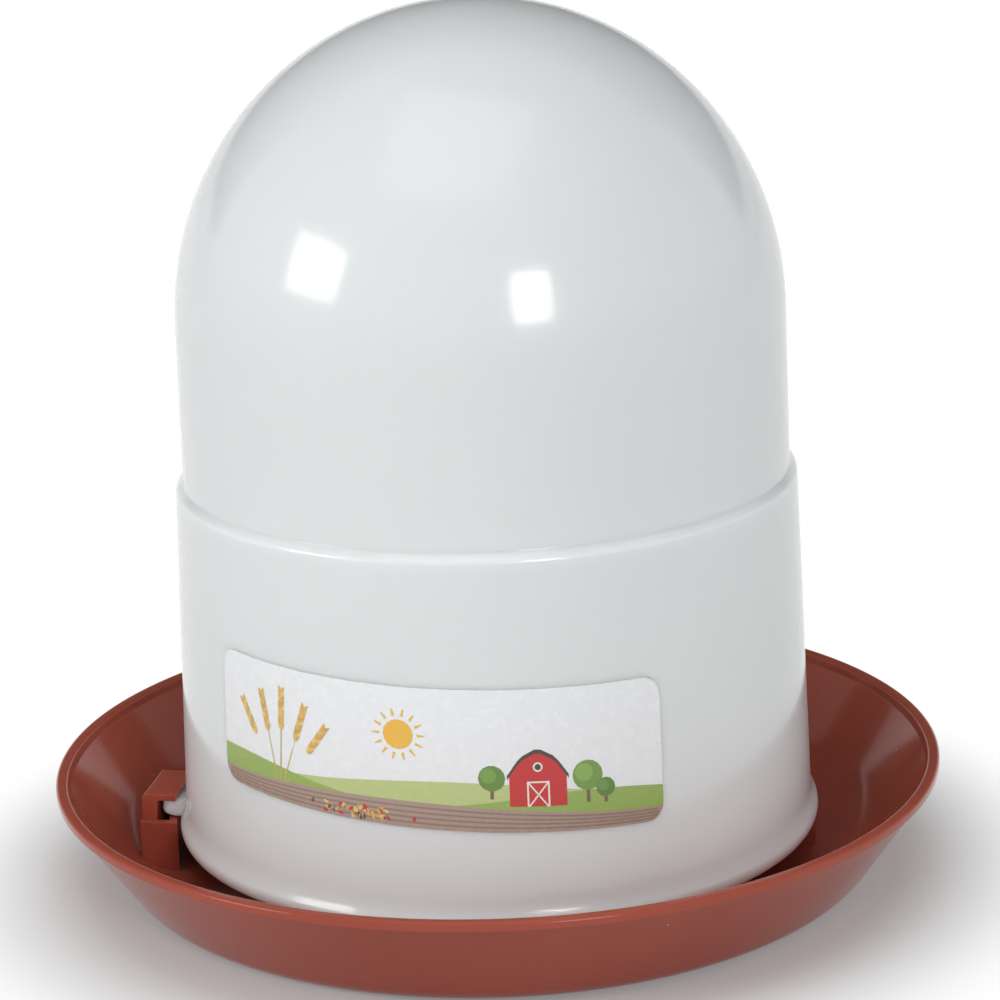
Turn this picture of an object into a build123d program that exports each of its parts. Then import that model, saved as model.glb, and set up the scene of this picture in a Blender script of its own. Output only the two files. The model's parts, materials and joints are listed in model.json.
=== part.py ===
from build123d import *
import math
import os

# Poultry feeder: an open round tray with a domed feed silo that locks into it by a twist.
# Millimetres, +Z up. The origin is the centre of the ring that the tray stands on.
# The near side, where the sticker is, faces -Y.

# Tray shell
RIM_RADIUS = 110.0
TRAY_HEIGHT = 27.8
TRAY_FOOT_RADIUS = 91.3
TRAY_WALL = 2.0
FOOT_CORNER_RADIUS = 10.3
TROUGH_CORNER_RADIUS = 20.0

# Lip of the tray
LIP_WIDTH = 2.9
LIP_HEIGHT = 2.4
LIP_OVERHANG = 1.0
LIP_EDGE_RADIUS = 0.9
LIP_LOWER_RADIUS = 0.35

# Floor of the tray
FLOOR_THICKNESS = 1.6
FOOT_RECESS = 0.5
FOOT_RING_WIDTH = 7.0

# Spreading cone in the middle of the floor
CONE_RADIUS = 50.0
CONE_HEIGHT = 26.0
CONE_TIP_RADIUS = 7.0
CONE_FOOT_FILLET = 8.0
CONE_WALL = 1.6

# Ribs that carry the mouth of the silo
RIB_COUNT = 4
RIB_AZIMUTH = -4.0
RIB_THICKNESS = 1.8

# Silo
SILO_RADIUS = 78.2
SILO_WALL = 1.8
MOUTH_HEIGHT = 12.3
MOUTH_REACH = 1.2
FLARE_REACH = 2.25
FLARE_RISE = 1.6
FLARE_LENGTH = 5.3
FLARE_EDGE_RADIUS = 2.8
FLARE_FOOT_RADIUS = 8.0
LOWER_WALL_HEIGHT = 83.0
LOWER_WALL_DRAFT = 2.4
SHOULDER_INSET = 1.8
SHOULDER_STEP = 1.8
SHOULDER_EDGE_RADIUS = 1.7
UPPER_WALL_HEIGHT = 38.3
UPPER_WALL_DRAFT = 0.4
DOME_RISE = 75.7

# Bayonet: hooks on the tray, lugs on the silo
HOOK_AZIMUTHS = (177.5, 57.5)
HOOK_STANDOFF = 9.4
HOOK_SKEW = 8.6
HOOK_WIDTH = 17.6
HOOK_REACH = 8.75
HOOK_BAR = 1.6
HOOK_POST_FOOT = 3.5
HOOK_POST_HEAD = 4.1
HOOK_EDGE_RADIUS = 1.0
LEDGE_RISE = 2.7
WINDOW_HEIGHT = 4.9
BOX_WALL = 2.0
BOX_STEP = 0.3
LUG_REACH = 6.3
LUG_WIDTH = 13.0
LUG_TIP_LEAN = 0.8
LUG_LOWER_RADIUS = 1.9
LUG_SIDE_RADIUS = 1.6

# Sticker
LABEL_AZIMUTH = 256.9
LABEL_SPAN = 84.9
LABEL_HEIGHT = 34.0
LABEL_RISE = 36.6
LABEL_DROP = 3.6
LABEL_THICKNESS = 0.2
LABEL_CORNER = 4.5
GLUE_LAYER = 0.15

# Clearances
RUNNING_GAP = 0.3
SIDE_GAP = 0.8

# Worked out from the sizes above
FLOOR_TOP = FOOT_RECESS + FLOOR_THICKNESS
MOUTH_RADIUS = SILO_RADIUS + MOUTH_REACH
MOUTH_INNER_RADIUS = SILO_RADIUS - SILO_WALL
FLARE_RADIUS = SILO_RADIUS + FLARE_REACH
FLARE_HEIGHT = MOUTH_HEIGHT + FLARE_RISE
FLARE_TOP = MOUTH_HEIGHT + FLARE_LENGTH
SHOULDER_HEIGHT = FLARE_TOP + LOWER_WALL_HEIGHT
SHOULDER_RADIUS = SILO_RADIUS - LOWER_WALL_DRAFT
UPPER_WALL_RADIUS = SHOULDER_RADIUS - SHOULDER_INSET
UPPER_WALL_START = SHOULDER_HEIGHT + SHOULDER_STEP
DOME_RADIUS = UPPER_WALL_RADIUS - UPPER_WALL_DRAFT
DOME_START = UPPER_WALL_START + UPPER_WALL_HEIGHT
SILO_TOP = DOME_START + DOME_RISE
RIB_TOP = MOUTH_HEIGHT - RUNNING_GAP
RIB_REACH = MOUTH_RADIUS - MOUTH_REACH / 6
HOOK_RADIUS = SILO_RADIUS + HOOK_STANDOFF
LEDGE_HEIGHT = MOUTH_HEIGHT + LEDGE_RISE
HOOK_TOP = LEDGE_HEIGHT + WINDOW_HEIGHT + HOOK_BAR
LABEL_CENTRE = FLARE_TOP + LABEL_RISE


def nearest(vertices, x, z):
    """The corner of a section sketch that lies closest to radius x and height z."""
    return min(vertices, key=lambda v: math.hypot(v.X - x, v.Y - z))


def underside():
    """The tray's lower profile as corners of radius, height and rounding, from the axis to the lip."""
    lip_bottom = TRAY_HEIGHT - LIP_HEIGHT
    ring_inner = TRAY_FOOT_RADIUS - FOOT_CORNER_RADIUS - FOOT_RING_WIDTH
    cone_slope = (CONE_HEIGHT - FLOOR_TOP) / (CONE_RADIUS - CONE_TIP_RADIUS)
    cone_drop = CONE_WALL * math.hypot(1, cone_slope)
    under_top = CONE_HEIGHT - CONE_WALL
    under_tip = CONE_TIP_RADIUS - (cone_drop - CONE_WALL) / cone_slope
    under_foot = under_tip + (under_top - FOOT_RECESS) / cone_slope
    return (
        (0, under_top, 0),
        (under_tip, under_top, CONE_TIP_RADIUS - CONE_WALL),
        (under_foot, FOOT_RECESS, CONE_FOOT_FILLET + CONE_WALL),
        (ring_inner, FOOT_RECESS, 0),
        (ring_inner + FOOT_RECESS, 0, 0),
        (TRAY_FOOT_RADIUS, 0, FOOT_CORNER_RADIUS),
        (RIM_RADIUS - LIP_OVERHANG, lip_bottom, 0),
    )


def turned(corners):
    """A solid turned about Z from corners of radius, height and rounding."""
    section = make_face(Polyline([(x, z) for x, z, _ in corners], close=True))
    for x, z, radius in corners:
        if radius > 0:
            section = fillet(nearest(section.vertices(), x, z), radius)
    return revolve(Plane.XZ * section, Axis.Z)


def tray_shell():
    """The moulded shell: wall, lip, floor, foot ring and hollow cone."""
    lip_bottom = TRAY_HEIGHT - LIP_HEIGHT
    lean = (RIM_RADIUS - LIP_OVERHANG - TRAY_FOOT_RADIUS) / lip_bottom
    across = TRAY_WALL * math.hypot(1, lean)
    inner_top = RIM_RADIUS - LIP_OVERHANG - across
    inner_foot = TRAY_FOOT_RADIUS - across + lean * FLOOR_TOP
    upper = (
        (RIM_RADIUS, lip_bottom, LIP_LOWER_RADIUS),
        (RIM_RADIUS, TRAY_HEIGHT, LIP_EDGE_RADIUS),
        (RIM_RADIUS - LIP_WIDTH, TRAY_HEIGHT, LIP_EDGE_RADIUS),
        (inner_top, lip_bottom, 0),
        (inner_foot, FLOOR_TOP, TROUGH_CORNER_RADIUS),
        (CONE_RADIUS, FLOOR_TOP, CONE_FOOT_FILLET),
        (CONE_TIP_RADIUS, CONE_HEIGHT, CONE_TIP_RADIUS),
        (0, CONE_HEIGHT, 0),
    )
    return turned(underside() + upper)


def above_underside():
    """All the space above the tray's underside, which ribs and boxes must stay within."""
    return turned(underside() + ((0, TRAY_HEIGHT - LIP_HEIGHT, 0),))


def hook_place(azimuth):
    """Frame of one hook at its outer face: local X points outwards, local Y to the end where a lug enters."""
    return Rot(0, 0, azimuth) * Pos(HOOK_RADIUS, 0, 0) * Rot(0, 0, -HOOK_SKEW)


def hook_upper(azimuth):
    """Post and overhanging bar of one hook: a C-shaped section open towards the silo."""
    foot = LEDGE_HEIGHT - BOX_WALL
    under_bar = HOOK_TOP - HOOK_BAR
    outline = Polyline(
        (0, foot),
        (0, HOOK_TOP),
        (-HOOK_REACH, HOOK_TOP),
        (-HOOK_REACH, under_bar),
        (-HOOK_POST_HEAD, under_bar),
        (-HOOK_POST_FOOT, foot),
        close=True,
    )
    section = make_face(outline)
    section = fillet(nearest(section.vertices(), 0, HOOK_TOP), HOOK_EDGE_RADIUS)
    section = fillet(nearest(section.vertices(), -HOOK_REACH, HOOK_TOP), HOOK_EDGE_RADIUS / 3)
    bar = extrude(Plane.XZ * section, HOOK_WIDTH / 2, both=True)
    return (hook_place(azimuth) * bar) & outside_silo(SILO_RADIUS + SIDE_GAP)


def outside_silo(radius):
    """The space of the trough outside a radius, which keeps the hooks on an arc clear of the silo."""
    return extrude(Circle(RIM_RADIUS) - Circle(radius), TRAY_HEIGHT)


def hook_box(azimuth):
    """The raised box that a hook stands on, and the hollow that the core for its window leaves, open below."""
    box_reach = FLARE_RADIUS + RUNNING_GAP
    depth = HOOK_REACH * 2
    outer_plan = Pos(BOX_STEP - depth / 2, 0) * Rectangle(depth, HOOK_WIDTH + 2 * BOX_WALL)
    inner_plan = Pos(-HOOK_POST_FOOT - depth / 2, 0) * Rectangle(depth, HOOK_WIDTH)
    place = hook_place(azimuth)
    outer = (place * extrude(outer_plan, LEDGE_HEIGHT)) & outside_silo(box_reach)
    inner = (place * extrude(inner_plan, LEDGE_HEIGHT)) & outside_silo(box_reach + BOX_WALL)
    return outer, inner


def rib(azimuth):
    """One upright rib from the cone out to the mouth of the silo."""
    length = RIB_REACH - CONE_TIP_RADIUS
    blank = Box(length, RIB_THICKNESS, RIB_TOP, align=(Align.MIN, Align.CENTER, Align.MIN))
    return Rot(0, 0, azimuth) * Pos(CONE_TIP_RADIUS, 0, 0) * blank


def tray():
    """The whole tray as the one moulding that it is."""
    body = tray_shell()
    inside = above_underside()
    for i in range(RIB_COUNT):
        body = body + (rib(RIB_AZIMUTH + 360 / RIB_COUNT * i) & inside)
    for azimuth in HOOK_AZIMUTHS:
        outer, inner = hook_box(azimuth)
        body = body + (outer & inside)
        body = body - inner
        body = body + hook_upper(azimuth)
    return body


def dome(inset):
    """A quarter of the dome's ellipse, from the wall up to the axis."""
    radius = DOME_RADIUS - inset
    rise = DOME_RISE - inset
    corners = ((radius, DOME_START), (radius, DOME_START + rise), (0, DOME_START + rise))
    return Bezier(*corners, weights=(1, math.sqrt(0.5), 1))


def silo_outside():
    """The outer form of the silo, closed across its mouth."""
    wall = Polyline(
        (0, SILO_TOP),
        (0, MOUTH_HEIGHT),
        (MOUTH_RADIUS, MOUTH_HEIGHT),
        (FLARE_RADIUS, FLARE_HEIGHT),
        (SILO_RADIUS, FLARE_TOP),
        (SHOULDER_RADIUS, SHOULDER_HEIGHT),
        (UPPER_WALL_RADIUS, UPPER_WALL_START),
        (DOME_RADIUS, DOME_START),
    )
    section = make_face([*wall.edges(), *dome(0).edges()])
    corners = (
        (FLARE_RADIUS, FLARE_HEIGHT, FLARE_EDGE_RADIUS),
        (SILO_RADIUS, FLARE_TOP, FLARE_FOOT_RADIUS),
        (SHOULDER_RADIUS, SHOULDER_HEIGHT, SHOULDER_EDGE_RADIUS),
        (UPPER_WALL_RADIUS, UPPER_WALL_START, SHOULDER_EDGE_RADIUS / 2),
    )
    for x, z, radius in corners:
        section = fillet(nearest(section.vertices(), x, z), radius)
    return revolve(Plane.XZ * section, Axis.Z)


def silo_inside():
    """The hollow of the silo, a wall's thickness inside its outer form."""
    below = MOUTH_HEIGHT - SILO_WALL
    wall = Polyline(
        (0, SILO_TOP - SILO_WALL),
        (0, below),
        (MOUTH_INNER_RADIUS, below),
        (SHOULDER_RADIUS - SILO_WALL, SHOULDER_HEIGHT - SILO_WALL / 2),
        (UPPER_WALL_RADIUS - SILO_WALL, UPPER_WALL_START - SILO_WALL / 2),
        (DOME_RADIUS - SILO_WALL, DOME_START),
    )
    return revolve(Plane.XZ * make_face([*wall.edges(), *dome(SILO_WALL).edges()]), Axis.Z)


def lug(azimuth):
    """One bayonet lug: a short tab under its hook's bar, cut back at the tip along the skewed post."""
    top = HOOK_TOP - HOOK_BAR - RUNNING_GAP
    bottom = LEDGE_HEIGHT + RUNNING_GAP * 2
    tip = SILO_RADIUS + LUG_REACH
    root = SILO_RADIUS - SILO_WALL / 2
    outline = Polyline((root, bottom), (tip, bottom), (tip - LUG_TIP_LEAN, top), (root, top), close=True)
    section = make_face(outline)
    section = fillet(nearest(section.vertices(), tip, bottom), LUG_LOWER_RADIUS)
    blank = extrude(Plane.XZ * section, LUG_WIDTH / 2, both=True)
    tip_edges = blank.edges().filter_by(Axis.Z).sort_by(Axis.X)[-2:]
    start = math.degrees((HOOK_WIDTH - LUG_WIDTH) / 2 / HOOK_RADIUS)
    tab = Rot(0, 0, azimuth + start) * fillet(tip_edges, LUG_SIDE_RADIUS)
    room = Box(HOOK_REACH * 4, HOOK_WIDTH * 4, HOOK_TOP, align=(Align.MAX, Align.CENTER, Align.MIN))
    return tab & (hook_place(azimuth) * Pos(-HOOK_POST_HEAD - RUNNING_GAP, 0, 0) * room)


def silo():
    """The feed holder, one hollow moulding with its lugs."""
    body = silo_outside()
    for azimuth in HOOK_AZIMUTHS:
        body = body + lug(azimuth)
    return body - silo_inside()


def label():
    """The sticker: a thin skin on the tapered wall, put on slightly out of level."""
    slope = LOWER_WALL_DRAFT / LOWER_WALL_HEIGHT
    skin = []
    for z in (LABEL_CENTRE - LABEL_HEIGHT, LABEL_CENTRE + LABEL_HEIGHT):
        back = SILO_RADIUS - slope * (z - FLARE_TOP) + GLUE_LAYER
        skin.append((back, z))
        skin.insert(0, (back + LABEL_THICKNESS, z))
    band = revolve(Plane.XZ * make_face(Polyline(skin, close=True)), Axis.Z)
    half = SILO_RADIUS * math.sin(math.radians(LABEL_SPAN / 2))
    drop = LABEL_DROP / 2
    rise = LABEL_HEIGHT / 2
    corners = ((-half, drop - rise), (half, -drop - rise), (half, rise - drop), (-half, rise + drop))
    outline = make_face(Polyline(corners, close=True))
    outline = fillet(outline.vertices(), LABEL_CORNER)
    front = Plane(origin=(0, 0, LABEL_CENTRE), x_dir=(1, 0, 0), z_dir=(0, -1, 0))
    cutter = extrude(front * outline, RIM_RADIUS)
    return band & (Rot(0, 0, LABEL_AZIMUTH - 270) * cutter)


os.makedirs("parts", exist_ok=True)
for name, solid in (("tray", tray()), ("silo", silo()), ("label", label())):
    export_step(solid, f"parts/{name}.step")
    print(name, round(solid.volume), solid.bounding_box())
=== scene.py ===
import json
import math
import random

import bmesh
import bpy
from mathutils import Euler, Matrix, Vector

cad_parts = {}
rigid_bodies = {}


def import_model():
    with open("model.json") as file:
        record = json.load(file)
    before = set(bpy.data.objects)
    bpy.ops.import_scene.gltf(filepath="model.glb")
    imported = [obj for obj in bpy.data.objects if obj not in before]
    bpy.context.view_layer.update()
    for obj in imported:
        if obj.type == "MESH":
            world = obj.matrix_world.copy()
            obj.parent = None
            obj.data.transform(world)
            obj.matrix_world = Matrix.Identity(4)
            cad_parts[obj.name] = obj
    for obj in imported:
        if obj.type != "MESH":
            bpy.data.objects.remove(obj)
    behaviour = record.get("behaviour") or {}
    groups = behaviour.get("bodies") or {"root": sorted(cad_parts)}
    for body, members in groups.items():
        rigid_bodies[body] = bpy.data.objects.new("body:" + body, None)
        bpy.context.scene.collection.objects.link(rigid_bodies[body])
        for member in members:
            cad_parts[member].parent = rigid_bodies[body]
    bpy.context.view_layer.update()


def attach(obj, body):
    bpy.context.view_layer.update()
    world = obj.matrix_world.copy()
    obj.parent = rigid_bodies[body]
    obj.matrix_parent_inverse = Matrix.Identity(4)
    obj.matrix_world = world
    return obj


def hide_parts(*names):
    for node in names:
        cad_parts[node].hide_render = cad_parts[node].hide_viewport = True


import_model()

MM = 0.001

# The tray is one moulding in terracotta-coloured plastic: a sloping wall with a thick rounded lip, a floor with a foot
# ring and a hollow spreading cone. It is the part that stands on the ground, and the silo's mouth rests on its ribs.

TRAY_SEGMENTS = 360
RIM = 110.0
RIM_TOP = 27.8
LIP_BOTTOM = 25.4
FLOOR_TOP = 2.1
HOOK_ANGLES = (177.5, 57.5)


def rounded(corners, step=7.0):
    """A chain of radius and height points from corners of radius, height and rounding."""
    chain = []
    count = len(corners)
    for i, (x, z, rounding) in enumerate(corners):
        here = Vector((x, z))
        if rounding == 0:
            chain.append(here)
            continue
        before = Vector(corners[i - 1][:2]) - here
        after = Vector(corners[(i + 1) % count][:2]) - here
        half = before.angle(after) / 2
        reach = rounding / math.tan(half)
        start = here + before.normalized() * reach
        end = here + after.normalized() * reach
        centre = here + (before.normalized() + after.normalized()).normalized() * rounding / math.sin(half)
        sweep = math.pi - 2 * half
        pieces = max(2, math.ceil(math.degrees(sweep) / step))
        a = start - centre
        b = end - centre
        turn = a.angle_signed(b)
        for k in range(pieces + 1):
            angle = -turn * k / pieces
            chain.append(centre + Matrix.Rotation(angle, 2) @ a)
    return chain


def spin(mesh, chain, segments, closed=False):
    """Adds the surface that a chain of radius and height points makes when it is turned about Z."""
    rings = []
    for point in chain:
        if point[0] < 0.001:
            rings.append([mesh.verts.new((0, 0, point[1] * MM))])
            continue
        ring = []
        for k in range(segments):
            angle = 2 * math.pi * k / segments
            ring.append(mesh.verts.new((point[0] * MM * math.cos(angle), point[0] * MM * math.sin(angle), point[1] * MM)))
        rings.append(ring)
    pairs = list(zip(rings, rings[1:]))
    if closed:
        pairs.append((rings[-1], rings[0]))
    for low, high in pairs:
        for k in range(segments):
            n = (k + 1) % segments
            if len(low) == 1 and len(high) == 1:
                break
            if len(low) == 1:
                mesh.faces.new((low[0], high[n], high[k]))
            elif len(high) == 1:
                mesh.faces.new((low[k], low[n], high[0]))
            else:
                mesh.faces.new((low[k], low[n], high[n], high[k]))


def loft(mesh, sections):
    """Adds a closed solid through sections that all have the same number of points."""
    loops = [[mesh.verts.new(point) for point in section] for section in sections]
    count = len(loops[0])
    for low, high in zip(loops, loops[1:]):
        for k in range(count):
            n = (k + 1) % count
            mesh.faces.new((low[k], low[n], high[n], high[k]))
    mesh.faces.new(list(reversed(loops[0])))
    mesh.faces.new(loops[-1])


def finish_mesh(mesh, name, crease=32.0):
    """Makes an object from mesh code, smooth except where faces meet at more than the crease angle."""
    bmesh.ops.recalc_face_normals(mesh, faces=mesh.faces)
    data = bpy.data.meshes.new(name)
    mesh.to_mesh(data)
    mesh.free()
    data.shade_smooth()
    data.set_sharp_from_angle(angle=math.radians(crease))
    made = bpy.data.objects.new(name, data)
    bpy.context.scene.collection.objects.link(made)
    return made


def soften(made, width, name="moulded_edges"):
    """Rounds the edges of a moulded piece as a tool does."""
    edge = made.modifiers.new(name, "BEVEL")
    edge.width = width * MM
    edge.segments = 3
    edge.limit_method = "ANGLE"
    edge.angle_limit = math.radians(40)
    edge.harden_normals = True


tray_corners = (
    (0, 24.4, 0),
    (6.2, 24.4, 5.4),
    (49.3, 0.5, 9.6),
    (74.0, 0.5, 0.3),
    (74.5, 0.0, 0.3),
    (91.3, 0.0, 10.3),
    (109.0, LIP_BOTTOM, 0.25),
    (RIM, LIP_BOTTOM, 0.4),
    (RIM, RIM_TOP, 0.95),
    (RIM - 2.9, RIM_TOP, 0.95),
    (106.56, LIP_BOTTOM, 0.8),
    (90.3, FLOOR_TOP, 20.0),
    (50.0, FLOOR_TOP, 8.0),
    (7.0, 26.0, 7.0),
    (0, 26.0, 0),
)
mesh = bmesh.new()
spin(mesh, rounded(tray_corners), TRAY_SEGMENTS)
tray = finish_mesh(mesh, "tray_shell")


def hook_frame(angle):
    """Local frame of a hook: X outwards from its outer face, Y towards the end that a lug enters."""
    turn = Matrix.Rotation(math.radians(angle), 4, "Z")
    skew = Matrix.Rotation(math.radians(-8.6), 4, "Z")
    return turn @ Matrix.Translation((87.6 * MM, 0, 0)) @ skew


def arc_x(place, y, radius):
    """The local X at which a line at local Y, run outwards, crosses a circle about the feeder's axis."""
    origin = place @ Vector((0, y * MM, 0))
    outward = (place.to_3x3() @ Vector((1, 0, 0))).to_2d()
    flat = origin.to_2d()
    along = flat.dot(outward)
    across = flat.length_squared - along * along
    return (math.sqrt((radius * MM) ** 2 - across) - along) / MM


# The hooks rise from the tray's floor. Each is a hollow box with an overhanging bar on a post above it, and the slot
# between them is open towards the silo, where a lug turns in. The box is open below, where the tool's core came out.

HOOK_HALF = 8.8
HOOK_TOP = 21.5
BAR = 1.6
LEDGE = 15.0
CORE_CUT = (-2.0, 4.0)
for number, angle in enumerate(HOOK_ANGLES, 1):
    place = hook_frame(angle)
    mesh = bmesh.new()
    sections = []
    for k in range(9):
        y = -HOOK_HALF + 2 * HOOK_HALF * k / 8
        inner = max(-8.75, arc_x(place, y, 79.0))
        outline = rounded(
            (
                (0, LEDGE - 2, 0),
                (0, HOOK_TOP, 1.0),
                (inner, HOOK_TOP, 0.35),
                (inner, HOOK_TOP - BAR, 0.2),
                (-4.1, HOOK_TOP - BAR, 0.3),
                (-3.5, LEDGE - 2, 0),
            ),
            20,
        )
        sections.append([place @ Vector((p[0] * MM, y * MM, p[1] * MM)) for p in outline])
    loft(mesh, sections)
    hook = finish_mesh(mesh, f"tray_hook_{number}")
    soften(hook, 0.2)

    mesh = bmesh.new()
    loops = []
    for grow, reach, outer_x in ((2.0, 80.75, 0.3), (0.0, 82.75, -3.5)):
        half = HOOK_HALF + grow
        plan = []
        for k in range(13):
            y = -half + 2 * half * k / 12
            plan.append((arc_x(place, y, reach), y))
        plan += [(outer_x, half), (outer_x, 0), (outer_x, -half)]
        loops.append(plan)
    heights = (0.9, LEDGE)
    outer = [[mesh.verts.new(place @ Vector((x * MM, y * MM, z * MM))) for x, y in loops[0]] for z in heights]
    inner = [[mesh.verts.new(place @ Vector((x * MM, y * MM, z * MM))) for x, y in loops[1]] for z in heights]
    count = len(loops[0])
    for k in range(count):
        n = (k + 1) % count
        mesh.faces.new((outer[0][k], outer[0][n], outer[1][n], outer[1][k]))
        mesh.faces.new((inner[0][n], inner[0][k], inner[1][k], inner[1][n]))
        mesh.faces.new((outer[1][k], outer[1][n], inner[1][n], inner[1][k]))
        mesh.faces.new((outer[0][n], outer[0][k], inner[0][k], inner[0][n]))
    box = finish_mesh(mesh, f"tray_hook_box_{number}")
    soften(box, 0.3)

    mesh = bmesh.new()
    loft(mesh, [[place @ Vector((x * MM, y * MM, z * MM)) for x, y in loops[1]] for z in CORE_CUT])
    core = finish_mesh(mesh, "window_core")
    cut = tray.modifiers.new("core_slot", "BOOLEAN")
    cut.operation = "DIFFERENCE"
    cut.solver = "EXACT"
    cut.object = core
    shaped = tray.evaluated_get(bpy.context.evaluated_depsgraph_get())
    tray.data = bpy.data.meshes.new_from_object(shaped)
    tray.modifiers.clear()
    bpy.data.objects.remove(core)
    hook_parts = (hook, box)
    for piece in hook_parts:
        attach(piece, "tray")

for number in range(4):
    mesh = bmesh.new()
    spoke = Matrix.Rotation(math.radians(-4 + 90 * number), 4, "Z")
    sections = []
    for radius in (6.0, 30.0, 60.0, 79.2):
        lean = 0.15
        low = 14.0 if radius < 10 else 1.2
        sections.append(
            [
                spoke @ Vector((radius * MM, y * MM, z * MM))
                for y, z in ((-0.9 - lean, low), (0.9 + lean, low), (0.9, 12.0 + low / 10), (-0.9, 12.0 + low / 10))
            ]
        )
    loft(mesh, sections)
    rib = finish_mesh(mesh, f"tray_rib_{number + 1}")
    soften(rib, 0.25)
    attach(rib, "tray")


def link(tree, kind, inputs=None, **settings):
    """Adds a node with its settings, and sets or links its inputs."""
    made = tree.nodes.new(kind)
    for key, value in settings.items():
        setattr(made, key, value)
    for key, value in (inputs or {}).items():
        if isinstance(value, bpy.types.NodeSocket):
            tree.links.new(value, made.inputs[key])
        else:
            made.inputs[key].default_value = value
    return made


def ramp(tree, value, stops):
    """A colour ramp of position and grey or colour stops."""
    made = link(tree, "ShaderNodeValToRGB", {"Fac": value})
    band = made.color_ramp
    for i, (position, colour) in enumerate(stops):
        stop = band.elements[i] if i < 2 else band.elements.new(position)
        stop.position = position
        stop.color = (colour, colour, colour, 1) if isinstance(colour, float) else (*colour, 1)
    return made.outputs["Color"]


def moulded_group():
    """Shared by both plastics: slow tone drift, fine hair scratches, and the shallow waves of a moulded face."""
    group = bpy.data.node_groups.new("moulded_surface", "ShaderNodeTree")
    for name, kind in (("Size", "NodeSocketFloat"), ("Waves", "NodeSocketFloat"), ("Scratches", "NodeSocketFloat")):
        group.interface.new_socket(name, in_out="INPUT", socket_type=kind)
    for name, kind in (("Tone", "NodeSocketFloat"), ("Scuffs", "NodeSocketFloat"), ("Normal", "NodeSocketVector")):
        group.interface.new_socket(name, in_out="OUTPUT", socket_type=kind)
    given = group.nodes.new("NodeGroupInput").outputs
    place = link(group, "ShaderNodeTexCoord").outputs["Object"]
    tone = link(group, "ShaderNodeTexNoise", {"Vector": place, "Scale": given["Size"], "Detail": 3.0}).outputs["Fac"]
    warp = link(group, "ShaderNodeTexNoise", {"Vector": place, "Scale": 14.0, "Detail": 2.0}).outputs["Color"]
    bent = link(group, "ShaderNodeVectorMath", {0: warp, 1: (0.05, 0.05, 0.05)}, operation="MULTIPLY").outputs[0]
    moved = link(group, "ShaderNodeVectorMath", {0: place, 1: bent}, operation="ADD").outputs[0]
    hair = link(
        group,
        "ShaderNodeTexVoronoi",
        {"Vector": moved, "Scale": 38.0},
        feature="DISTANCE_TO_EDGE",
    ).outputs["Distance"]
    thin = ramp(group, hair, ((0.0, 1.0), (0.012, 0.0)))
    patch = link(group, "ShaderNodeTexNoise", {"Vector": place, "Scale": 22.0, "Detail": 4.0}).outputs["Fac"]
    rare = ramp(group, patch, ((0.56, 0.0), (0.72, 1.0)))
    both = link(group, "ShaderNodeMath", {0: thin, 1: rare}, operation="MULTIPLY").outputs[0]
    scuffs = link(group, "ShaderNodeMath", {0: both, 1: given["Scratches"]}, operation="MULTIPLY").outputs[0]
    wave = link(group, "ShaderNodeTexNoise", {"Vector": place, "Scale": 16.0, "Detail": 1.0}).outputs["Fac"]
    soft = link(
        group, "ShaderNodeBump", {"Height": wave, "Strength": given["Waves"], "Distance": 0.002}
    ).outputs["Normal"]
    grain = link(group, "ShaderNodeTexNoise", {"Vector": place, "Scale": 900.0, "Detail": 2.0}).outputs["Fac"]
    fine = link(
        group, "ShaderNodeBump", {"Height": grain, "Strength": 0.06, "Distance": 0.0001, "Normal": soft}
    ).outputs["Normal"]
    cut = link(
        group, "ShaderNodeBump", {"Height": scuffs, "Strength": 0.3, "Distance": 0.00005, "Normal": fine}
    ).outputs["Normal"]
    link(group, "NodeGroupOutput", {"Tone": tone, "Scuffs": scuffs, "Normal": cut})
    return group


moulded = moulded_group()

terracotta = bpy.data.materials.new("tray_terracotta")
terracotta.use_nodes = True
tree = terracotta.node_tree
shader = tree.nodes["Principled BSDF"]
surface = link(tree, "ShaderNodeGroup", {}, node_tree=moulded)
surface.inputs["Size"].default_value = 18.0
surface.inputs["Waves"].default_value = 0.12
surface.inputs["Scratches"].default_value = 0.06
colour = ramp(tree, surface.outputs["Tone"], ((0.3, (0.33, 0.066, 0.040)), (0.7, (0.37, 0.078, 0.048))))
worn = link(
    tree,
    "ShaderNodeMix",
    {"Factor": surface.outputs["Scuffs"], 6: colour, 7: (0.62, 0.32, 0.26, 1)},
    data_type="RGBA",
).outputs[2]
dust = link(
    tree,
    "ShaderNodeTexVoronoi",
    {"Vector": link(tree, "ShaderNodeTexCoord").outputs["Object"], "Scale": 95.0},
).outputs["Distance"]
specks = ramp(tree, dust, ((0.016, 0.8), (0.028, 0.0)))
dusty = link(
    tree, "ShaderNodeMix", {"Factor": specks, 6: worn, 7: (0.66, 0.50, 0.44, 1)}, data_type="RGBA"
).outputs[2]
gloss = ramp(tree, surface.outputs["Tone"], ((0.3, 0.09), (0.7, 0.13)))
tree.links.new(dusty, shader.inputs["Base Color"])
tree.links.new(gloss, shader.inputs["Roughness"])
tree.links.new(surface.outputs["Normal"], shader.inputs["Normal"])
shader.inputs["IOR"].default_value = 1.5
shader.inputs["Specular IOR Level"].default_value = 0.22

for piece in bpy.data.objects:
    if piece.name.startswith("tray_"):
        piece.data.materials.append(terracotta)
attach(tray, "tray")
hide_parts("tray")

# The silo is one thin moulding in milky translucent plastic: a dome, a tapered wall with a rounded shoulder step and a
# flared mouth. It stands on the tray's ribs, and its lugs turn under the bars of the tray's hooks.

SILO_SEGMENTS = 360
WALL = 1.8
DOME_BASE = 140.7
DOME_WIDTH = 73.6
DOME_RISE = 75.7


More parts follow.
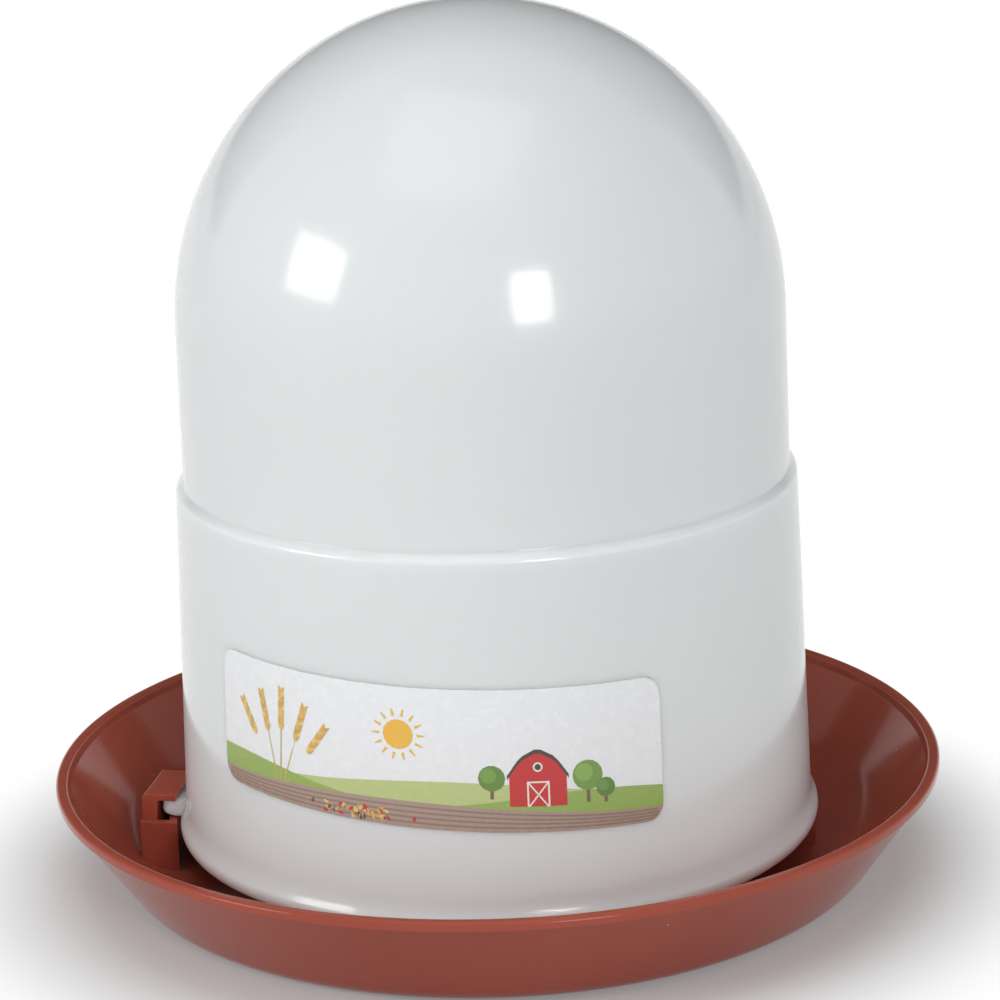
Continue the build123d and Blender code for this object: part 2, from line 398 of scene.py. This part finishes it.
def dome_chain(inset, steps=40):
    """Points up the quarter ellipse of the dome, from the wall to the axis."""
    return [
        Vector(
            (
                (DOME_WIDTH - inset) * math.cos(math.pi / 2 * k / steps) if k < steps else 0.0,
                DOME_BASE + (DOME_RISE - inset) * math.sin(math.pi / 2 * k / steps),
            )
        )
        for k in range(steps + 1)
    ]


outer_wall = rounded(
    (
        (0, 12.3, 0),
        (79.4, 12.3, 0.25),
        (80.45, 13.9, 2.8),
        (78.2, 17.6, 8.0),
        (75.8, 100.6, 1.7),
        (74.0, 102.4, 0.85),
        (DOME_WIDTH, DOME_BASE, 0),
        (0, DOME_BASE, 0),
    )
)[1:-2]
inner_wall = rounded(
    (
        (0, 12.3, 0),
        (76.4, 12.3, 0.25),
        (74.0, 99.7, 1.2),
        (72.2, 101.5, 1.7),
        (DOME_WIDTH - WALL, DOME_BASE, 0),
        (0, DOME_BASE, 0),
    )
)[1:-2]
chain = outer_wall + dome_chain(0) + list(reversed(dome_chain(WALL))) + list(reversed(inner_wall))
mesh = bmesh.new()
spin(mesh, chain, SILO_SEGMENTS, closed=True)
silo = finish_mesh(mesh, "silo_shell")

LUG_TOP = 19.6
LUG_BOTTOM = 15.6
for number, angle in enumerate(HOOK_ANGLES, 1):
    place = hook_frame(angle)
    start = angle + math.degrees(2.3 / 87.6)
    turn = Matrix.Rotation(math.radians(start), 4, "Z")
    back = place.inverted()
    outward = place.to_3x3() @ Vector((1, 0, 0))
    mesh = bmesh.new()
    sections = []
    for k in range(15):
        y = -6.5 + 13.0 * k / 14
        end = 6.5 - abs(y)
        nose = 84.5 - (1.6 - math.sqrt(max(0.0, 1.6**2 - (1.6 - end) ** 2)) if end < 1.6 else 0.0)
        lane = turn @ Vector((0, y * MM, 0))
        run = turn.to_3x3() @ Vector((1, 0, 0))
        limit = (-4.4 * MM - (back @ lane).x) / (back.to_3x3() @ run).x / MM
        tip = min(nose, limit)
        outline = rounded(
            (
                (77.0, LUG_BOTTOM, 0),
                (tip, LUG_BOTTOM, 1.9),
                (tip - 0.8, LUG_TOP, 0.3),
                (77.0, LUG_TOP, 0),
            ),
            15,
        )
        sections.append([turn @ Vector((p[0] * MM, y * MM, p[1] * MM)) for p in outline])
    loft(mesh, sections)
    lug = finish_mesh(mesh, f"silo_lug_{number}", 50)
    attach(lug, "silo")

milky = bpy.data.materials.new("silo_milky")
milky.use_nodes = True
tree = milky.node_tree
shader = tree.nodes["Principled BSDF"]
surface = link(tree, "ShaderNodeGroup", {}, node_tree=moulded)
surface.inputs["Size"].default_value = 9.0
surface.inputs["Waves"].default_value = 0.10
surface.inputs["Scratches"].default_value = 0.35
colour = ramp(tree, surface.outputs["Tone"], ((0.3, (0.835, 0.90, 0.885)), (0.7, (0.86, 0.92, 0.905))))
place = link(tree, "ShaderNodeTexCoord").outputs["Object"]
height = link(tree, "ShaderNodeSeparateXYZ", {0: place}).outputs["Z"]
# Painted light: the wall's colour turns paler and bluer towards the mouth, standing in for light low down, where shade
# and the tray's red bounce fall on the wall.
painted_light_near_mouth = link(tree, "ShaderNodeMapRange", {"Value": height, 1: 0.060, 2: 0.014, 3: 0.0, 4: 1.0}).outputs[0]
colour = link(
    tree, "ShaderNodeMix", {"Factor": painted_light_near_mouth, 6: colour, 7: (0.85, 0.965, 0.965, 1)}, data_type="RGBA"
).outputs[2]
worn = link(
    tree,
    "ShaderNodeMix",
    {"Factor": surface.outputs["Scuffs"], 6: colour, 7: (0.84, 0.87, 0.87, 1)},
    data_type="RGBA",
).outputs[2]
gloss = ramp(tree, surface.outputs["Tone"], ((0.3, 0.13), (0.7, 0.18)))
tree.links.new(worn, shader.inputs["Base Color"])
tree.links.new(gloss, shader.inputs["Roughness"])
tree.links.new(surface.outputs["Normal"], shader.inputs["Normal"])
shader.inputs["IOR"].default_value = 1.5
shader.inputs["Subsurface Weight"].default_value = 0.9
shader.inputs["Subsurface Radius"].default_value = (1.0, 1.0, 1.0)
shader.inputs["Subsurface Scale"].default_value = 0.005
for piece in bpy.data.objects:
    if piece.name.startswith("silo_"):
        piece.data.materials.append(milky)
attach(silo, "silo")
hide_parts("silo")

# The sticker is a printed gloss film, put on the lower wall slightly out of level. Its print is a simple farm view on
# white: three rolling fields, a barn between two trees, a low sun, and a bunch of wheat with loose grains beside it.

LABEL_LEFT = 214.4
LABEL_RIGHT = 299.3
LABEL_LONG = 114.4
LABEL_TALL = 34.0
LABEL_CORNER = 4.6
FILM = 0.12
COLUMN = 1.0


def on_wall(u, v, lift=0.0):
    """A point on the silo's wall, u along the sticker from its left end and v up from its bottom edge."""
    angle = LABEL_LEFT + (LABEL_RIGHT - LABEL_LEFT) * u / LABEL_LONG
    low = 40.3 - 0.0700 * (angle - LABEL_LEFT)
    high = 72.65 - 0.0385 * (angle - LABEL_LEFT)
    z = low + (high - low) * v / LABEL_TALL
    radius = 78.2 - 2.4 * (z - 17.6) / 83.0 + 0.04 + lift
    a = math.radians(angle)
    return Vector((radius * math.cos(a), radius * math.sin(a), z)) * MM


mesh = bmesh.new()
print_layer = mesh.loops.layers.float_color.new("print")
uv_layer = mesh.loops.layers.uv.new("sheet")


def printed(points, colour, lift):
    """One small printed shape: a flat outline in sticker millimetres, laid on the wall."""
    face = mesh.faces.new([mesh.verts.new(on_wall(u, v, lift)) for u, v in points])
    for loop, (u, v) in zip(face.loops, points):
        loop[print_layer] = (*colour, 1)
        loop[uv_layer].uv = (u / LABEL_LONG, v / LABEL_TALL)


def corner_cut(u):
    """How far the sticker's rounded corners take its bottom and top edges in at a place along it."""
    side = min(u, LABEL_LONG - u)
    if side >= LABEL_CORNER:
        return 0.0
    return LABEL_CORNER - math.sqrt(max(0.0, LABEL_CORNER**2 - (LABEL_CORNER - side) ** 2))


def area(left, right, low, high, colour, lift):
    """A wide printed shape between a lower and an upper line, in narrow columns that follow the wall."""
    columns = max(6, math.ceil((right - left) / COLUMN))
    cuts = [left + (right - left) * (0.5 - 0.5 * math.cos(math.pi * k / columns)) for k in range(columns + 1)]
    for a, b in zip(cuts, cuts[1:]):
        corners = ((a, low(a)), (b, low(b)), (b, high(b)), (a, high(a)))
        if corners[2][1] - corners[1][1] > 0.001 or corners[3][1] - corners[0][1] > 0.001:
            printed(corners, colour, lift)


def disc(u, v, size, colour, lift):
    """A round printed spot."""

    def half(x):
        return math.sqrt(max(0.0, size**2 - (x - u) ** 2))

    area(u - size, u + size, lambda x: v - half(x), lambda x: v + half(x), colour, lift)


WHITE = (0.86, 0.875, 0.885)
area(0, LABEL_LONG, corner_cut, lambda u: LABEL_TALL - corner_cut(u), WHITE, FILM)

# The film's cut edge goes down to the wall all round.
outline = []
for k in range(121):
    u = LABEL_LONG * (0.5 - 0.5 * math.cos(math.pi * k / 120))
    outline.append((u, corner_cut(u)))
outline += [(u, LABEL_TALL - v) for u, v in reversed(outline)]
for (u0, v0), (u1, v1) in zip(outline, outline[1:] + outline[:1]):
    if math.hypot(u1 - u0, v1 - v0) < 0.001:
        continue
    corners = (on_wall(u0, v0, FILM), on_wall(u0, v0, -0.04), on_wall(u1, v1, -0.04), on_wall(u1, v1, FILM))
    face = mesh.faces.new([mesh.verts.new(corner) for corner in corners])
    for loop in face.loops:
        loop[print_layer] = (*WHITE, 1)


def far_field(u):
    return 9.4 + 2.4 * math.sin(u * 0.052 + 4.4)


def near_field(u):
    return 7.4 + 2.1 * math.sin(u * 0.068 + 1.2)


def ploughed(u):
    return 4.9 + 1.5 * math.sin(u * 0.047 + 5.4)


area(0, LABEL_LONG, corner_cut, lambda u: max(far_field(u), corner_cut(u)), (0.52, 0.60, 0.25), FILM + 0.015)
area(0, LABEL_LONG, corner_cut, lambda u: max(near_field(u), corner_cut(u)), (0.32, 0.45, 0.11), FILM + 0.03)
area(0, LABEL_LONG, corner_cut, lambda u: max(ploughed(u), corner_cut(u)), (0.42, 0.31, 0.26), FILM + 0.045)
for share in (0.2, 0.4, 0.6, 0.8):
    area(
        1.5,
        LABEL_LONG - 1.5,
        lambda u: max(ploughed(u) * share - 0.22, corner_cut(u)),
        lambda u: max(ploughed(u) * share + 0.22, corner_cut(u)),
        (0.30, 0.205, 0.16),
        FILM + 0.05,
    )

# The barn stands on the near field, with its roof, loft window and a cross-braced door.
BARN_RED = (0.58, 0.045, 0.045)
ROOF = (0.085, 0.06, 0.055)
CREAM = (0.85, 0.82, 0.74)
BARN_MIDDLE = 84.0
BARN_HALF = 6.6
BARN_FOOT = 6.2
BARN_EAVES = 13.6
BARN_KNEE = 17.2
BARN_RIDGE = 19.4


def gable(u):
    """The barn roof's outline, steep below its knee and shallow above."""
    out = abs(u - BARN_MIDDLE)
    knee = BARN_HALF * 0.62
    if out > knee:
        return BARN_EAVES + (BARN_KNEE - BARN_EAVES) * (BARN_HALF - out) / (BARN_HALF - knee)
    return BARN_KNEE + (BARN_RIDGE - BARN_KNEE) * (knee - out) / knee


left, right = BARN_MIDDLE - BARN_HALF, BARN_MIDDLE + BARN_HALF
area(left, right, lambda u: BARN_FOOT, gable, BARN_RED, FILM + 0.06)
area(left - 0.5, right + 0.5, lambda u: gable(u) - 0.25, lambda u: gable(u) + 0.75, ROOF, FILM + 0.066)
area(BARN_MIDDLE - 2.6, BARN_MIDDLE + 2.6, lambda u: BARN_FOOT, lambda u: 12.2, CREAM, FILM + 0.066)
area(BARN_MIDDLE - 2.2, BARN_MIDDLE + 2.2, lambda u: BARN_FOOT, lambda u: 11.8, BARN_RED, FILM + 0.07)
for slope in (-1, 1):
    brace = 5.6 / 4.4 * slope
    area(
        BARN_MIDDLE - 2.2,
        BARN_MIDDLE + 2.2,
        lambda u: 9.0 + (u - BARN_MIDDLE) * brace - 0.28,
        lambda u: 9.0 + (u - BARN_MIDDLE) * brace + 0.28,
        CREAM,
        FILM + 0.074,
    )
disc(BARN_MIDDLE, 15.6, 1.15, CREAM, FILM + 0.07)
disc(BARN_MIDDLE, 15.6, 0.75, ROOF, FILM + 0.074)

for u, foot, tall, size, colour in (
    (73.4, 8.0, 5.0, 3.1, (0.15, 0.27, 0.06)),
    (95.6, 6.6, 6.4, 3.6, (0.20, 0.33, 0.08)),
    (99.8, 6.2, 3.6, 2.3, (0.13, 0.24, 0.06)),
):
    trunk = 0.4
    area(u - trunk, u + trunk, lambda x: foot, lambda x: foot + tall, (0.20, 0.13, 0.09), FILM + 0.06)
    disc(u, foot + tall, size, colour, FILM + 0.066)
    disc(u - size * 0.25, foot + tall + size * 0.2, size * 0.6, tuple(c * 1.35 for c in colour), FILM + 0.07)

SUN = (0.86, 0.50, 0.08)
SUN_PLACE = (52.0, 22.5)
disc(*SUN_PLACE, 3.6, SUN, FILM + 0.06)
for k in range(14):
    a = 2 * math.pi * k / 14
    ray = []
    for reach, side in ((4.5, -0.35), (6.3, -0.12), (6.3, 0.12), (4.5, 0.35)):
        ray.append(
            (
                SUN_PLACE[0] + reach * math.cos(a) - side * math.sin(a),
                SUN_PLACE[1] + reach * math.sin(a) + side * math.cos(a),
            )
        )
    printed(ray, SUN, FILM + 0.06)

WHEAT = (0.70, 0.43, 0.11)
HUSK = (0.80, 0.56, 0.20)
picker = random.Random(11)


def grain(u, v, length, width, angle, colour, lift):
    """One pointed grain, lying at an angle."""
    points = []
    for k in range(10):
        a = 2 * math.pi * k / 10
        along = length * math.cos(a)
        across = width * math.sin(a) * (1 - 0.35 * math.cos(a))
        points.append(
            (u + along * math.cos(angle) - across * math.sin(angle), v + along * math.sin(angle) + across * math.cos(angle))
        )
    printed(points, colour, lift)


for number, (foot, tip, tall) in enumerate(
    ((18.0, 8.0, 22.0), (19.0, 14.5, 25.5), (20.0, 21.0, 27.5), (21.0, 27.5, 24.5), (22.0, 33.0, 20.5))
):
    base = 5.0
    lift = FILM + 0.06 + 0.004 * number
    lean = math.atan2(tall - base, tip - foot)
    stalk = [(foot - 0.22, base), (foot + 0.22, base), (tip + 0.12, tall), (tip - 0.12, tall)]
    printed(stalk, (0.55, 0.46, 0.13), lift)
    for k in range(9):
        share = 1 - 0.052 * k
        u = foot + (tip - foot) * share
        v = base + (tall - base) * share
        for side in (-1, 1):
            angle = lean + side * 0.5
            shade = picker.uniform(0.85, 1.1)
            tone = WHEAT if (k + side) % 3 else HUSK
            grain(
                u + 0.85 * math.cos(angle),
                v + 0.85 * math.sin(angle),
                1.05,
                0.42,
                angle,
                tuple(c * shade for c in tone),
                lift + 0.001 * (k % 3 + 1),
            )

for k in range(46):
    u = picker.gauss(43.0, 6.0)
    v = max(0.9, min(ploughed(u) - 0.7, picker.gauss(2.2, 1.1)))
    tone = picker.choice((WHEAT, HUSK, (0.60, 0.05, 0.05), (0.16, 0.09, 0.06)))
    grain(u, v, 0.75, 0.34, picker.uniform(0, math.pi), tone, FILM + 0.06 + 0.0004 * k)

label = finish_mesh(mesh, "label_print")

film = bpy.data.materials.new("label_film")
film.use_nodes = True
tree = film.node_tree
shader = tree.nodes["Principled BSDF"]
ink = link(tree, "ShaderNodeVertexColor", layer_name="print").outputs["Color"]
place = link(tree, "ShaderNodeTexCoord").outputs["Object"]
drift = link(tree, "ShaderNodeTexNoise", {"Vector": place, "Scale": 420.0, "Detail": 4.0}).outputs["Fac"]
tone = ramp(tree, drift, ((0.3, 0.965), (0.7, 1.0)))
colour = link(tree, "ShaderNodeMix", {"Factor": 1.0, 6: ink, 7: tone}, data_type="RGBA", blend_type="MULTIPLY").outputs[2]
gloss = ramp(tree, drift, ((0.3, 0.22), (0.7, 0.30)))
paper = link(tree, "ShaderNodeTexNoise", {"Vector": place, "Scale": 700.0, "Detail": 2.0}).outputs["Fac"]
relief = link(tree, "ShaderNodeBump", {"Height": paper, "Strength": 0.05, "Distance": 0.0001}).outputs["Normal"]
tree.links.new(colour, shader.inputs["Base Color"])
tree.links.new(gloss, shader.inputs["Roughness"])
tree.links.new(relief, shader.inputs["Normal"])
label.data.materials.append(film)
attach(label, "silo")
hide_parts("label")

# A plain white sweep, two soft boxes in front at the left and right, and a broad soft light from above.

mesh = bmesh.new()
bmesh.ops.create_grid(mesh, x_segments=8, y_segments=8, size=4.0)
floor = finish_mesh(mesh, "studio_floor")
floor.location.z = -0.0002
ground = bpy.data.materials.new("studio_floor")
ground.use_nodes = True
tree = ground.node_tree
tree.nodes.remove(tree.nodes["Principled BSDF"])
grain = link(tree, "ShaderNodeTexNoise", {"Scale": 3.0}).outputs["Fac"]
tone = ramp(tree, grain, ((0.3, 0.62), (0.7, 0.64)))
matte = link(tree, "ShaderNodeBsdfDiffuse", {"Color": tone}).outputs[0]
white = link(tree, "ShaderNodeEmission", {"Color": (1, 1, 1, 1), "Strength": 1.0}).outputs[0]
rays = link(tree, "ShaderNodeLightPath").outputs
seen = link(tree, "ShaderNodeMath", {0: rays["Is Camera Ray"], 1: rays["Is Glossy Ray"]}, operation="MAXIMUM").outputs[0]
seen = link(tree, "ShaderNodeMath", {0: seen, 1: rays["Is Transmission Ray"]}, operation="MAXIMUM").outputs[0]
place = link(tree, "ShaderNodeTexCoord").outputs["Object"]
away = link(tree, "ShaderNodeVectorMath", {0: place}, operation="LENGTH").outputs["Value"]
spread = link(tree, "ShaderNodeMapRange", {"Value": away, 1: 0.098, 2: 0.150, 3: 0.15, 4: 1.0}, interpolation_type="SMOOTHSTEP")
lift = link(tree, "ShaderNodeMath", {0: seen, 1: spread.outputs[0]}, operation="MULTIPLY").outputs[0]
mixed = link(tree, "ShaderNodeMixShader", {"Fac": lift, 1: matte, 2: white}).outputs[0]
tree.links.new(mixed, tree.nodes["Material Output"].inputs["Surface"])
floor.data.materials.append(ground)

world = bpy.data.worlds.new("studio_air")
bpy.context.scene.world = world
world.use_nodes = True
tree = world.node_tree
plain = tree.nodes["Background"]
toward = link(tree, "ShaderNodeTexCoord").outputs["Generated"]
height = link(tree, "ShaderNodeSeparateXYZ", {0: toward}).outputs["Z"]
sky = ramp(tree, height, ((0.10, (0.84, 0.85, 0.86)), (0.55, (0.42, 0.43, 0.44))))
tree.links.new(sky, plain.inputs["Color"])
plain.inputs["Strength"].default_value = 1.0


def softbox(name, azimuth, elevation, distance, width, height, brightness):
    """A flat soft light that faces the silo, placed by its direction from the dome."""
    a = math.radians(azimuth)
    e = math.radians(elevation)
    out = Vector((math.cos(a) * math.cos(e), math.sin(a) * math.cos(e), math.sin(e)))
    data = bpy.data.lights.new(name, "AREA")
    data.shape = "RECTANGLE"
    data.size = width
    data.size_y = height
    data.energy = brightness * math.pi * width * height
    lamp = bpy.data.objects.new(name, data)
    lamp.location = Vector((0, 0, 0.15)) + out * distance
    lamp.rotation_mode = "QUATERNION"
    lamp.rotation_quaternion = out.to_track_quat("Z", "Y")
    lamp.visible_camera = False
    bpy.context.scene.collection.objects.link(lamp)


softbox("softbox_left", 204.0, 19.0, 1.6, 0.62, 0.47, 8.0)
softbox("softbox_right", 289.0, 15.0, 1.6, 0.38, 0.46, 12.0)
softbox("softbox_top", 250.0, 72.0, 1.8, 1.4, 1.4, 1.0)

# A dark cloth hangs behind, above the view, so that the glossy tray doesn't mirror a pale wall.
FLAG_WIDTH = 3.2
FLAG_LOW = 0.32
FLAG_HIGH = 1.9
FLAG_BACK = 1.2
mesh = bmesh.new()
bmesh.ops.create_grid(mesh, x_segments=4, y_segments=4, size=0.5)
for point in mesh.verts:
    x, y = point.co.x, point.co.y
    point.co = (x * FLAG_WIDTH, FLAG_BACK - 0.5 * x * x, FLAG_LOW + (y + 0.5) * (FLAG_HIGH - FLAG_LOW))
flag = finish_mesh(mesh, "studio_flag")
flag.visible_camera = False
cloth = bpy.data.materials.new("studio_flag")
cloth.use_nodes = True
cloth.node_tree.nodes["Principled BSDF"].inputs["Base Color"].default_value = (0.06, 0.06, 0.06, 1)
cloth.node_tree.nodes["Principled BSDF"].inputs["Roughness"].default_value = 0.95
flag.data.materials.append(cloth)

camera = bpy.data.objects.new("photo_camera", bpy.data.cameras.new("photo_camera"))
camera.data.sensor_width = 36.0
camera.data.lens = 128.95
camera.data.clip_start = 0.05
camera.location = (0.0, -0.8440, 0.3386)
camera.rotation_euler = Euler((math.radians(73.7665), math.radians(2.0379), math.radians(-0.7989)), "XYZ")
bpy.context.scene.collection.objects.link(camera)
bpy.context.scene.camera = camera
bpy.context.scene.view_settings.view_transform = "Standard"
